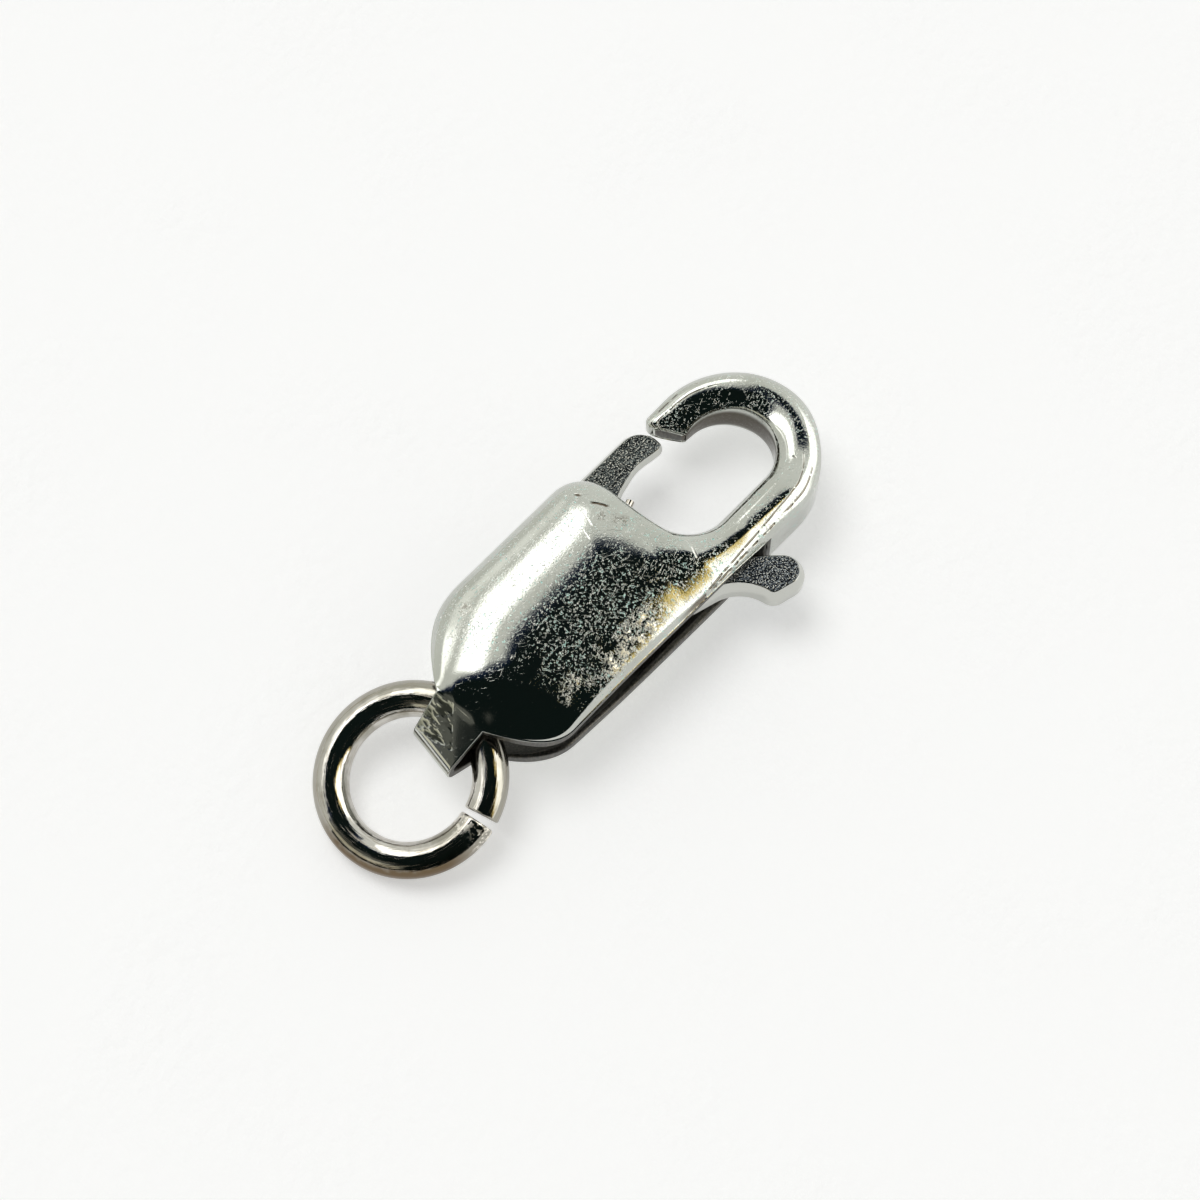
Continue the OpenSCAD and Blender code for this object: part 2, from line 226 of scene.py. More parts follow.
def between(a, b):
    return np.clip((row - a) / (b - a), 0, 1)


def softened(values, reach, keep):
    """A running mean along the rows, so that no reflection breaks where two stretches meet."""
    kernel = np.hanning(2 * reach + 3)[1:-1]
    padded = np.pad(values, reach, mode="edge")
    result = np.convolve(padded, kernel / kernel.sum(), mode="valid")
    weight = np.clip(row / keep, 0, 1) * np.clip((rows - 1 - row) / keep, 0, 1)
    return mix(values, result, weight)


fold_out_r = fold_r + strip_t
slope_run = fold_out_r * (1 - math.sin(bail_slope))
slope_rise = fold_out_r * math.cos(bail_slope)
neck_z = slope_rise + (neck_x - slope_run) * math.tan(bail_slope)
neck_t = strip_t / math.cos(bail_slope)
arm_wall = (side_z + tip_wall) / 2 + arm_wall_more
row_flat = row_bend + BEND * 5 // 8


def by_row(*stops):
    """A value for every row, going over softly between the rows at which it is given."""
    values = np.full(rows, stops[0][1], float)
    for (a, old), (b, new) in zip(stops, stops[1:]):
        values = np.where(row >= a, mix(old, new, ease(between(a, b))), values)
    return values


# The sides of the strip, first on the side of the gate and the eye, then on that of the thumb tab. On
# the tail's thumb side the edge turns in lower and sharper, and inside the hook there is a narrow lip.
thumb_x_row = np.where(row < row_bend, thumb_edge[:, 0], FAR)
dip_reach = np.where(thumb_x_row < tail_dip_x, tail_dip_before, tail_dip_after)
dip = tail_dip * np.exp(-((thumb_x_row - tail_dip_x) / dip_reach) ** 2) * np.clip(row / 6, 0, 1)
rolling = ease(np.clip((thumb_x_row - tail_roll_x) / tail_roll_l, 0, 1))
rim_z = [
    softened(by_row((0, neck_z), (row_side, side_z), (row_sweep, side_z), (row_bend, arm_wall),
                    (row_flat, hook_lip_z), (rows - 1, 0.8 * tip_wall)), 6, 8),
    softened(by_row((0, neck_z), (row_side, side_z), (row_sweep, side_z), (row_bend, arm_wall),
                    (rows - 1, tip_wall)) - dip, 6, 8)]
inner_rim_z = [by_row((0, neck_z - neck_t), (row_side, slot_z)) - low for low in (0, dip)]
side_roll = [
    by_row((row_root, roll_w), (row_flat, hook_lip_w)), mix(tail_lip_w, roll_w, rolling)]
side_share = [
    by_row((row_root, 0.45), (row_bend, 0.55), (row_flat, 0.72)),
    np.where(row < row_root, mix(0.12, 0.45, rolling),
             by_row((row_root, 0.45), (row_bend, 0.6), (row_flat, 0.85)))]
hooked = by_row((row_bend, 0), (row_flat, 1))

tail_rise = 1 - (1 - between(0, row_side) ** 1.3) ** 2
crown_z = np.where(row < row_side, mix(neck_z, crown_h, tail_rise), crown_h)
crown_z = np.where(row >= row_corner, mix(crown_h, root_h, ease(between(row_corner, row_root))), crown_z)
crown_z = np.where(row >= row_root, mix(root_h, bend_h, between(row_root, row_bend + 12)), crown_z)
crown_z = np.where(row >= row_flat, mix(bend_h, tip_h, between(row_flat, rows - 1) ** 1.1), crown_z)
crown_z = softened(crown_z, 8, 8)

ACROSS = 44
share = np.arange(ACROSS + 1) / ACROSS
share = mix(share, (1 - np.cos(np.pi * share)) / 2, 0.75)
arch_power = 2.4
hook_power = 1.6
hook_lean = 1.36


def section(k, t, width):
    """Height over a row of the sheet: an edge that rolls over on each side, then a shallow arch. Round the
    hook the arch is sharper and its top lies nearer to the outer side."""
    roll = np.minimum(np.where(t < 0.5, side_roll[0][k], side_roll[1][k]), 0.45 * width)
    near = np.minimum(t, 1 - t) * width
    rolled = np.sqrt(np.clip(1 - (1 - np.clip(near / roll, 0, 1)) ** 2, 0, 1))
    leaning = t ** mix(1, hook_lean, hooked[k])
    eye_side_power = mix(arch_power, hook_power, hooked[k])
    arched = 1 - np.abs(2 * leaning - 1) ** np.where(leaning < 0.5, eye_side_power, arch_power)
    roll_share = mix(side_share[0][k], side_share[1][k], ease(t))
    rim = mix(rim_z[0][k], rim_z[1][k], ease(t))
    return mix(rim, crown_z[k], roll_share * rolled + (1 - roll_share) * arched)


crease_start = np.array([0.24, -0.56])
crease_way = np.array([0.759, 0.651])
crease_slope = 0.1
crease_reach = 0.8
crease_end_x = 1.0
crease_fade_l = 0.9


def neck_fold(points, fade):
    """How far the strip lies lower on the thumb side of the crease that runs aslant over the neck."""
    off = points[..., :2] - crease_start
    aside = off[..., 0] * crease_way[1] - off[..., 1] * crease_way[0]
    ending = 1 - ease(np.clip((points[..., 0] - crease_end_x) / crease_fade_l, 0, 1))
    return crease_slope * np.clip(aside, 0, crease_reach) * fade * ending


row_w = np.linalg.norm(gate_edge - thumb_edge, axis=1)
inset = sheet_t / 2
swell = between(0, row_side)
corner_out = cut_edge_r * (1 - ease(swell))
outer = np.zeros((rows, ACROSS + 1, 3))
inner = np.zeros((row_root + 1, ACROSS + 1, 3))
for k in range(rows):
    t = mix(corner_out[k] / row_w[k], 1 - corner_out[k] / row_w[k], share)
    outer[k, :, :2] = mix(gate_edge[k], thumb_edge[k], t[:, None])
    outer[k, :, 2] = section(k, t, row_w[k])
    if k <= row_root:
        wall = mix(neck_t, sheet_t, swell[k])
        t = mix(cut_edge_r / row_w[k], 1 - cut_edge_r / row_w[k], share)
        inner[k, :, :2] = mix(gate_edge[k], thumb_edge[k], t[:, None])
        rim = mix(inner_rim_z[0][k], inner_rim_z[1][k], t)
        t = np.clip((t * row_w[k] - inset) / (row_w[k] - 2 * inset), 0, 1)
        inner[k, :, 2] = np.maximum(rim, section(k, t, row_w[k] - 2 * inset) - wall)

outer[:, :, 2] -= neck_fold(outer, 1)

FOLD = 18
NECK = 8
fold_turn = math.pi / 2 - bail_slope
turns = np.linspace(-fold_turn, fold_turn, FOLD + 1)


def fold_row(turn, radius):
    """Points across the strip where it goes round the bail, clear of its two rounded cut edges."""
    y = mix(fold_w / 2 - cut_edge_r, cut_edge_r - fold_w / 2, share)
    return np.stack([
        fold_out_r + math.tan(fold_skew) * y - radius * math.cos(turn), y,
        np.full_like(y, radius * math.sin(turn)),
    ], 1)


def neck_rows(folded, shell, crease):
    """The flat of the strip between the fold and the shell, with the crease (1) or without it (0)."""
    result = []
    for s in np.arange(1, NECK) / NECK:
        points = mix(folded, shell, s)
        flat_z = mix(folded[:, 2], shell[:, 2] + crease * neck_fold(shell, 1), s)
        points[:, 2] = flat_z - crease * neck_fold(points, min(1, 3 * s))
        result.append(points)
    return np.array(result)


def mirrored(grid):
    return grid * [1, 1, -1]


def whole_strip(shell, radius, crease):
    """The rows of one face of the sheet, from the lower shell's root round the bail to the upper one's."""
    bail = np.array([fold_row(a, radius) for a in turns])
    neck = neck_rows(bail[-1], shell[0], crease)
    half = np.concatenate([neck, shell[:row_root + 1]])
    return np.concatenate([mirrored(half[::-1]), bail, half])


def cut_edge(out_points, in_points, round_out):
    """Rows down a cut edge of the sheet, from its outer face to its inner one, with rounded corners."""
    side = np.stack([out_points[:, 0], out_points[:, -1]]), np.stack([in_points[:, 0], in_points[:, -1]])
    result = []
    for a, b in ((0, 1), (1, 0)):
        across = side[0][b] - side[0][a]
        across[:, 2] = 0
        across /= np.linalg.norm(across, axis=1)[:, None]
        top = side[0][a] - across * round_out[:, None]
        low = side[1][a] - across * cut_edge_r
        down = low - top
        thick = np.linalg.norm(down, axis=1)[:, None]
        down = down / thick
        steps = []
        for angle in np.radians([0, 30, 60, 90]):
            r = round_out[:, None]
            steps.append(top + across * r * (1 - math.sin(angle)) + down * r * (1 - math.cos(angle)))
        steps.append(top + down * (round_out[:, None] + 0.3 * cut_edge_r))
        steps.append(low - down * 1.3 * cut_edge_r)
        for angle in np.radians([0, 30, 60, 90]):
            steps.append(low + across * cut_edge_r * (1 - math.cos(angle))
                         - down * cut_edge_r * (1 - math.sin(angle)))
        result.append(np.stack(steps, 1)[:, 1:-1])
    return result


sheet_out = whole_strip(outer, fold_out_r, 1)
sheet_in = whole_strip(inner, fold_r, 0)
corners = np.concatenate([
    corner_out[row_root::-1], [cut_edge_r] * (FOLD + 2 * NECK - 1), corner_out[:row_root + 1]])
gate_cut, thumb_cut = cut_edge(sheet_out, sheet_in, corners)

hook_up = outer[row_root + 1:]
tip_middle = hook_up[-1].mean(0) * [1, 1, 0]
tip_across = np.append(gate_edge[-1] - thumb_edge[-1], 0)
tip_across /= np.linalg.norm(tip_across)
tip_ahead = np.array([tip_across[1], -tip_across[0], 0])
tip_rows = []
for angle in np.radians([0, 22, 45, 68, 90]):
    pull = tip_edge_r * (1 - math.cos(angle))
    side_way = (hook_up[-1] - tip_middle) @ tip_across
    end = hook_up[-1] - np.outer(side_way, tip_across) * pull / abs(side_way).max()
    end[:, 2] *= 1 - pull / hook_up[-1][:, 2].max()
    tip_rows.append(end - tip_ahead * tip_edge_r * (1 - math.sin(angle)))
hook_up = np.concatenate([hook_up[:-1], tip_rows])
hook_down = mirrored(hook_up)


def quad_strip(grid):
    """Faces between the rows of a grid of point numbers."""
    a, b, c, d = grid[:-1, :-1], grid[1:, :-1], grid[1:, 1:], grid[:-1, 1:]
    return np.stack([a, b, c, d], -1).reshape(-1, 4)


def quads(grid, bright_columns=None):
    """The faces of a grid, and for each 0 if it takes the plated finish or 1 if it lies past the first
    bright columns and takes the painted shade of the slot.
    """
    faces = quad_strip(grid)
    columns = np.arange(len(faces)) % (grid.shape[1] - 1)
    bright = grid.shape[1] if bright_columns is None else bright_columns
    return faces, (columns >= bright).astype(int)


body_points = []
point_count = 0
numbered = []
for grid in (sheet_out, sheet_in, gate_cut, thumb_cut, hook_up, hook_down):
    numbered.append(point_count + np.arange(grid.shape[0] * grid.shape[1]).reshape(grid.shape[:2]))
    body_points.append(grid.reshape(-1, 3))
    point_count += grid.shape[0] * grid.shape[1]
out_n, in_n, gate_n, thumb_n, up_n, down_n = numbered
up_n = np.concatenate([out_n[-1:], up_n])
down_n = np.concatenate([out_n[:1], down_n])
parts = [
    quads(out_n), quads(in_n, 0), quads(up_n), quads(down_n),
    quads(np.concatenate([out_n[:, :1], gate_n, in_n[:, :1]], 1), 3),
    quads(np.concatenate([out_n[:, -1:], thumb_n, in_n[:, -1:]], 1), 3),
    quads(np.stack([up_n[1:, 0], down_n[1:, 0]], 1)),
    quads(np.stack([up_n[1:, -1], down_n[1:, -1]], 1)),
    quads(np.stack([in_n[0], in_n[-1]]), 0), quads(np.stack([up_n[-1], down_n[-1]]), 0)]
body_faces = np.concatenate([faces for faces, inside in parts]).tolist()
# 1 marks the faces that take the painted shade of the slot
slot_shade_faces = np.concatenate([inside for faces, inside in parts]).tolist() + [1, 1]
for j, cut in ((0, gate_n), (-1, thumb_n)):
    body_faces.append([
        up_n[1, j], up_n[0, j], *cut[-1], in_n[-1, j],
        in_n[0, j], *cut[0][::-1], down_n[0, j], down_n[1, j]])


class Socket:
    """An output of a node. A sum or product of it adds a Math node."""

    def __init__(self, nodes, link):
        self.nodes = nodes
        self.link = link

    def maths(self, operation, *values):
        return self.nodes.add("ShaderNodeMath", {"operation": operation}, dict(enumerate(values)))

    def __add__(self, other):
        return self.maths("ADD", self, other)

    def __radd__(self, other):
        return self.maths("ADD", other, self)

    def __sub__(self, other):
        return self.maths("SUBTRACT", self, other)

    def __rsub__(self, other):
        return self.maths("SUBTRACT", other, self)

    def __mul__(self, other):
        return self.maths("MULTIPLY", self, other)

    def __rmul__(self, other):
        return self.maths("MULTIPLY", other, self)

    def __truediv__(self, other):
        return self.maths("DIVIDE", self, other)

    def __pow__(self, other):
        return self.maths("POWER", self, other)

    def size(self):
        return self.maths("ABSOLUTE", self)

    def least(self, other):
        return self.maths("MINIMUM", self, other)

    def most(self, other):
        return self.maths("MAXIMUM", self, other)

    def rise(self, low, high):
        """0 below low, 1 above high, and a soft step between them."""
        return self.nodes.add("ShaderNodeMapRange", {"interpolation_type": "SMOOTHSTEP"}, {
            0: self, 1: low, 2: high, 3: 0.0, 4: 1.0})


class Nodes:
    """A node tree, to which every node is added in the same way."""

    def __init__(self, tree):
        self.tree = tree
        tree.nodes.clear()

    def add(self, kind, settings=(), sockets=(), output=0):
        node = self.tree.nodes.new(kind)
        for name, value in dict(settings).items():
            setattr(node, name, value)
        for name, value in dict(sockets).items():
            if isinstance(value, Socket):
                self.tree.links.new(value.link, node.inputs[name])
            else:
                node.inputs[name].default_value = value
        if len(node.outputs):
            return Socket(self, node.outputs[output])

    def blend(self, a, b, share):
        """One colour going over into another."""
        return self.add("ShaderNodeMix", {"data_type": "RGBA"}, {0: share, 6: a, 7: b}, 2)

    def noise(self, where, size, detail=2.0, rough=0.5):
        """Fine unevenness whose grains are about so many metres across."""
        return self.add("ShaderNodeTexNoise", {}, {
            "Vector": where, "Scale": 1 / size, "Detail": detail, "Roughness": rough})

    def vectors(self, operation, a, b, output="Vector"):
        return self.add("ShaderNodeVectorMath", {"operation": operation}, {0: a, 1: b}, output)

    def scaled(self, where, factors):
        return self.vectors("MULTIPLY", where, factors)

    def place(self):
        """The place on the piece, in metres."""
        return self.add("ShaderNodeTexCoord", {}, {}, "Object")

    def part(self, vector, axis):
        return self.add("ShaderNodeSeparateXYZ", {}, {0: vector}, axis)

    def stored(self, name, output="Fac"):
        """What the mesh holds under a name."""
        return self.add("ShaderNodeAttribute", {"attribute_name": name}, {}, output)

    def given(self, name):
        """A value that is handed to the whole tree."""
        return self.add("NodeGroupInput", {}, {}, name)

    def bump(self, height, depth, strength=1.0):
        """Fine relief, of which a height of 1 stands so many metres out."""
        return self.add("ShaderNodeBump", {}, {"Strength": strength, "Distance": depth, "Height": height})

    def finish(self, **shader):
        """The metal shader with its values and links, joined to the output."""
        sockets = {name.replace("_", " "): value for name, value in shader.items()}
        metal = self.add("ShaderNodeBsdfPrincipled", {}, sockets)
        self.add("ShaderNodeOutputMaterial", {}, {"Surface": metal})


def new_finish(name):
    material = bpy.data.materials.new(name)
    material.use_nodes = True
    return material, Nodes(material.node_tree)


def place_on(nodes, where):
    """The place on the clasp in its own millimetres."""
    start = placed([0, 0, 0])[0].tolist()
    return nodes.scaled(nodes.vectors("SUBTRACT", where, start), (1 / MM, 1 / MM, 1 / MM))


def part_along(nodes, spot, way):
    return nodes.vectors("DOT_PRODUCT", spot, way, "Value")


def stroke(nodes, spot, a, b, width, wobble):
    """1 on a narrow mark from a to b, seen from above, and 0 beside it."""
    way = np.subtract(b, a)
    length = float(np.linalg.norm(way))
    way = way / length
    along = part_along(nodes, spot, (way[0], way[1], 0)) - float(way @ a)
    aside = part_along(nodes, spot, (-way[1], way[0], 0)) - float(way[0] * a[1] - way[1] * a[0])
    aside = (aside + wobble).size()
    return (1 - aside.rise(0.3 * width, width)) * along.rise(0.0, 0.12) * (length - along).rise(0.0, 0.12)


def strokes(nodes, spot, wobble, marks):
    """Several such marks, each given by its two ends and its width."""
    result = 0.0
    for a, b, width in marks:
        result = stroke(nodes, spot, a, b, width, wobble).most(result)
    return result


clean_colour = (0.55, 0.56, 0.525, 1)
cloudy_colour = (0.495, 0.505, 0.465, 1)
pit_colour = (0.40, 0.66, 0.62, 1)
bright_grain = (0.95, 0.94, 0.90, 1)
green_grain = (0.56, 0.92, 0.85, 1)
tarnish_colour = (0.13, 0.10, 0.07, 1)
rubbed_colour = (0.99, 0.93, 0.76, 1)
dent_colour = (0.12, 0.13, 0.10, 1)
# Painted shade: the near black of the wall inside the hook
painted_eye_wall_shade_colour = (0.09, 0.08, 0.065, 1)
# Painted shade: the very dark colours of the slot's inside faces and cut edges
slot_shade_colour = (0.10, 0.10, 0.095, 1)
slot_shade_grain_colour = (0.17, 0.16, 0.145, 1)

nickel, nodes = new_finish("dark_nickel_tumbled")
where = nodes.place()
spot = place_on(nodes, where)
x = nodes.part(spot, "X")
y = nodes.part(spot, "Y")
z = nodes.part(spot, "Z")
from_rim = nodes.stored("from_thumb_rim")
from_eye = nodes.stored("from_eye_rim")

# The wall inside the hook is painted dark: painted shade for the shaded floor that it reflects
painted_eye_wall_shade = 1 - from_eye.rise(0.008, 0.04)

# Tumbling left frost, small pits and bright grains on the domes and the hook, and none on the steep tail.
# The dome's shoulder beside the thumb side's edge is rubbed in patches.
tumbled = (x + 0.35 * y).rise(1.9, 3.4)
frost = nodes.noise(where, 0.000045, 2.0, 0.6)
pit_field = nodes.noise(where, 0.0009, 3.0, 0.6).rise(0.32, 0.62) * tumbled
pit_field = pit_field * (1 - 0.45 * x.rise(9.8, 11.2))
pits = nodes.noise(where, 0.00007, 2.0, 0.65).rise(0.58, 0.68) * pit_field
grains = nodes.noise(where, 0.0001, 3.0, 0.75).rise(0.62, 0.66) * pit_field
shoulder = from_rim.rise(0.1, 0.35) * (1.0 - from_rim).rise(0.0, 0.45)
shoulder = shoulder * x.rise(2.7, 3.5) * (6.6 - x).rise(0.0, 1.0)
rubbed = nodes.noise(where, 0.00013, 3.0, 0.7).rise(0.48, 0.56) * shoulder
rubbed = rubbed * nodes.noise(where, 0.0006, 1.0).rise(0.36, 0.56)
scratched = 0
for turn in (0.7, -0.35):
    turned = nodes.add("ShaderNodeVectorRotate", {"rotation_type": "Z_AXIS"}, {
        "Vector": where, "Angle": turn})
    hair = nodes.noise(nodes.scaled(turned, (0.09, 1.0, 0.5)), 0.00003, 1.0)
    scratched = hair.rise(0.71, 0.76) + scratched
scratched = scratched.least(1.0) * (0.25 + 0.75 * tumbled)

# Marks that the tools and the years left on the upper shell
upper = z.rise(0.0, 0.1)
wobble = (nodes.noise(where, 0.0003, 2.0) - 0.5) * 0.12
creases = strokes(nodes, spot, wobble, [
    ((7.13, 1.83), (7.24, 1.59), 0.05), ((7.20, 1.35), (7.49, 0.87), 0.05),
    ((7.05, 2.13), (7.12, 2.10), 0.06), ((11.88, -1.50), (11.90, -1.34), 0.05)])
scrapes = strokes(nodes, spot, wobble * 0.2, [
    ((6.92, 1.30), (6.74, 0.79), 0.03), ((6.53, 0.94), (6.41, 0.56), 0.025),
    ((8.10, -1.26), (7.92, -1.69), 0.035), ((7.16, -1.56), (7.27, -1.63), 0.05),
    ((11.60, -2.30), (11.70, -2.42), 0.04)])
seen_from_above = nodes.scaled(spot, (1.0, 1.0, 0.0))
stains = 0
for spot_x, spot_y in ((7.12, 0.81), (7.29, 0.55), (7.42, 0.34), (3.03, 1.64)):
    distance = nodes.vectors("DISTANCE", seen_from_above, (spot_x, spot_y, 0.0), "Value")
    stains = (1 - (distance + wobble * 2.0).rise(0.05, 0.2)) + stains
stains = stains.least(1.0) * nodes.noise(where, 0.00009, 3.0, 0.7).rise(0.42, 0.6)
creases = creases * upper
scrapes = scrapes * upper
stains = stains * upper

# Two long lines of the forming tool run beside the thumb side's edge and out along the hook
tool_lines = 0
for at, slope, faint in ((0.05, 0.09, 0.46), (0.02, 0.045, 0.52)):
    off = from_rim - at - slope * (x - 7.4).most(0.0) + wobble * 0.25
    broken = nodes.noise(nodes.scaled(where, (1.0, 1.0, 0.2)), 0.00025, 1.0).rise(faint - 0.12, faint)
    line = (1 - off.size().rise(0.008, 0.028)) * broken
    tool_lines = line * x.rise(6.3, 7.2) * (12.3 - x).rise(0.0, 0.6) + tool_lines
tool_lines = tool_lines.least(1.0)

# The folding tool pressed the flat of the neck: it is duller past the crease, and has dark dents before it
crease_aside = (crease_way[1], -crease_way[0])
beyond = part_along(nodes, spot, (*crease_aside, 0.0)) - float(crease_start @ crease_aside)
flat = (1.25 - x).rise(0.0, 0.25) * (x - 0.2).rise(0.0, 0.06)
pressed = flat * beyond.rise(0.0, 0.03)
hollows = nodes.noise(nodes.scaled(where, (1.0, 0.45, 1.0)), 0.00024, 2.0, 0.6).rise(0.38, 0.62)
dented = flat * (0 - beyond).rise(0.0, 0.05) * hollows

relief = frost * (0.05 + 0.10 * tumbled) - pits * 0.9 + grains * 0.9 - scratched * 0.3 + rubbed * 3.4
relief = relief - creases * 1.6 - tool_lines * 1.6 - scrapes * 0.4 - dented * 0.8 - stains * 0.5
bump = nodes.bump(relief, 0.000008)
cloud = nodes.noise(where, 0.0012, 3.0).rise(0.35, 0.7)
tint = nodes.noise(where, 0.00016, 1.0)
green_share = tint.rise(0.4, 0.55)
grain_colour = nodes.blend(bright_grain, green_grain, green_share * (0.9 - y).rise(0.0, 0.6))
tarnish = (creases + tool_lines * 0.8 + stains * 0.55).least(1.0)
colour = nodes.blend(clean_colour, cloudy_colour, cloud)
colour = nodes.blend(colour, pit_colour, pits * green_share)
colour = nodes.blend(colour, grain_colour, grains)
colour = nodes.blend(colour, bright_grain, scrapes)
colour = nodes.blend(colour, tarnish_colour, tarnish)
colour = nodes.blend(colour, rubbed_colour, rubbed * 0.9)
colour = nodes.blend(colour, dent_colour, dented * 0.8)
# Painted shade: the wall inside the hook goes over into a near black
colour = nodes.blend(colour, painted_eye_wall_shade_colour, painted_eye_wall_shade)
dull = 0.045 + 0.04 * cloud + 0.26 * grains + 0.16 * scratched + 0.1 * pressed
dull = dull + 0.3 * scrapes + 0.2 * stains + 0.27 * rubbed
nodes.finish(Base_Color=colour, Metallic=1.0, Roughness=dull, Normal=bump)

# Inside the shells and on the cut edges the strip gets a very dark, rough metal: painted shade for the slot
# between the shells, with a torn grain
slot_shade_nickel, nodes = new_finish("dark_nickel_painted_shade")
where = nodes.place()
torn = nodes.noise(nodes.scaled(where, (1.0, 1.0, 0.3)), 0.00006, 3.0, 0.65)
bump = nodes.bump(torn, 0.000008)
colour = nodes.blend(slot_shade_colour, slot_shade_grain_colour, torn.rise(0.4, 0.65))
nodes.finish(Base_Color=colour, Metallic=1.0, Roughness=0.32 + 0.2 * torn, Normal=bump)

shells_points = np.concatenate(body_points)
shells = solid("shells_and_hook", shells_points, body_faces, nickel)
# The second material is painted shade on the inside faces and on the cut edges past their bright rims
shells.data.materials.append(slot_shade_nickel)
shells.data.polygons.foreach_set("material_index", slot_shade_faces)
rim_marks = (("from_thumb_rim", -1, (out_n, up_n, down_n)), ("from_eye_rim", 0, (up_n, down_n)))
for name, column, grids in rim_marks:
    rim_far = np.full(len(shells.data.vertices), FAR)
    for grid in grids:
        ends = shells_points[grid]
        rim_far[grid] = np.linalg.norm((ends - ends[:, [column]])[..., :2], axis=2)
    shells.data.attributes.new(name, "FLOAT", "POINT").data.foreach_set("value", rim_far)
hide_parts("clasp_body")
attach(shells, "frame")


# Lever
# The gate and the thumb tab are one plate, stamped from sheet brass and tumbled, so that its flat faces
# stay rough and its rim is worn round and bright. It swings on the pin between the two shells.

lever_t = 0.85
gate_w = 1.1
gate_out = 2.33
gate_gap = 0.25
gate_tip_l = 0.7
gate_tip_d = 0.66
pivot_x = front_x - 2.15
pivot_y = -1.0
boss_r = 1.0
thumb_r = 0.55
thumb_out = 3.76
thumb_fore = 3.6
hollow_r = 1.1
bore_r = 0.43
rim_in = 0.15
rim_down = 0.3
rim_flat = 0.02
gate_lean = 0.3
lean_from = 0.35
lean_reach = 0.5
gate_low_y = 0.8
gate_in_r = 0.26

gate_end = (tip_in[0] + tip_out[0]) / 2 - gate_gap * math.hypot(1, tip_slant / tip_w)
gate_in = gate_out - gate_w
web_x = front_x - 0.1
notch_x = front_x - front_r
thumb_x = pivot_x + thumb_fore
thumb_y = thumb_r - thumb_out
heel_r = 0.74 * thumb_r


def toward(degrees):
    return np.array([math.cos(math.radians(degrees)), math.sin(math.radians(degrees))])


def bow(centre, rx, ry, a0, a1, n=14):
    a = np.radians(np.linspace(a0, a1, n + 1))
    return np.stack([centre[0] + rx * np.cos(a), centre[1] + ry * np.sin(a)], 1)


heel = np.array([thumb_x, thumb_y]) + (thumb_r - heel_r) * toward(-105) + 0.7 * thumb_r * toward(-195)
hollow = heel + (heel_r + hollow_r) * toward(-172)
lever_line = np.concatenate([
    bow((gate_end - gate_tip_l, gate_out - gate_tip_d), gate_tip_l, gate_tip_d, 90, 0),
    bow((gate_end - gate_in_r, gate_in + gate_in_r), gate_in_r, gate_in_r, 0, -90, 8),
    [[gate_end - 0.5, gate_in + 0.03], [gate_end - 0.75, gate_in + 0.075],
     [gate_end - 0.98, gate_in + 0.09], [gate_end - 1.2, gate_in + 0.07],
     [gate_end - 1.45, gate_in + 0.01], [web_x + 0.5, gate_in - 0.06],
     [web_x + 0.28, gate_in - 0.15], [web_x + 0.05, gate_in - 0.25]],
    [[notch_x, gate_in - 0.9 * gate_w], [notch_x, pivot_y + 0.4 * boss_r],
     [thumb_x - 0.1 * thumb_r, on_thumb_side(thumb_x)[1] + 0.05]],
    bow((thumb_x, thumb_y), thumb_r, thumb_r, 45, -105, 20),
    bow(heel, heel_r, heel_r, -105, -172, 9)[1:],
    bow(hollow, hollow_r, hollow_r, 8, 75)[1:],
    bow((pivot_x, pivot_y), boss_r, boss_r, -70, -220, 20),
    [[notch_x - 0.3, gate_out]],
])[::-1]


def drawn_in(line, depth):
    """A closed line moved inwards by one depth all round."""
    before = line - np.roll(line, 1, 0)
    after = np.roll(line, -1, 0) - line
    before /= np.linalg.norm(before, axis=1)[:, None]
    after /= np.linalg.norm(after, axis=1)[:, None]
    left = np.stack([-(before + after)[:, 1], (before + after)[:, 0]], 1)
    left /= np.linalg.norm(left, axis=1)[:, None]
    half_turn = np.clip(np.abs((left * np.stack([-after[:, 1], after[:, 0]], 1)).sum(1)), 0.5, 1)
    return line + left * (depth / half_turn)[:, None]


half_t = lever_t / 2
rim_round = (
    (1, 0), (0.95, 0.035), (0.75, 0.2), (0.55, 0.38), (0.35, 0.55), (0.18, 0.71), (0.06, 0.86), (0, 1))
rim_steps = [
    (rim_in + rim_flat, half_t),
    *[(rim_in * inside, half_t - rim_down * down) for inside, down in rim_round],
    (0, half_t - rim_down - rim_flat)]
rim_steps += [(depth, -z) for depth, z in rim_steps[::-1]]
line_n = len(lever_line)

# The gate is narrower at its underside, because its side towards the eye leans
lean_share = np.clip((gate_out - lean_from - lever_line[:, 1]) / lean_reach, 0, 1)
on_gate = (lever_line[:, 0] >= web_x) & (lever_line[:, 1] >= gate_low_y)
lean = gate_lean * lean_share * on_gate
lever_points = []
for depth, z in rim_steps:
    level_line = drawn_in(lever_line, depth)
    level_line[:, 1] += lean * (half_t - z) / lever_t
    lever_points.append(np.column_stack([level_line, np.full(line_n, z)]))
levels = np.arange(len(rim_steps) * line_n).reshape(-1, line_n)
levels_round = np.append(levels, levels[:, :1], 1)
BORE = 48
bore_line = bow((pivot_x, pivot_y), bore_r, bore_r, 0, 360, BORE)[:-1]
bore_n = levels.size + np.arange(2 * BORE).reshape(2, BORE)
for z in (half_t, -half_t):
    lever_points.append(np.append(bore_line, np.full((BORE, 1), z), 1))
flat_face = tessellate_polygon([
    [Vector((x, y, 0)) for x, y, z in lever_points[0]], [Vector((x, y, 0)) for x, y in bore_line]])
top_of = np.append(levels[0], bore_n[0])
foot_of = np.append(levels[-1], bore_n[1])
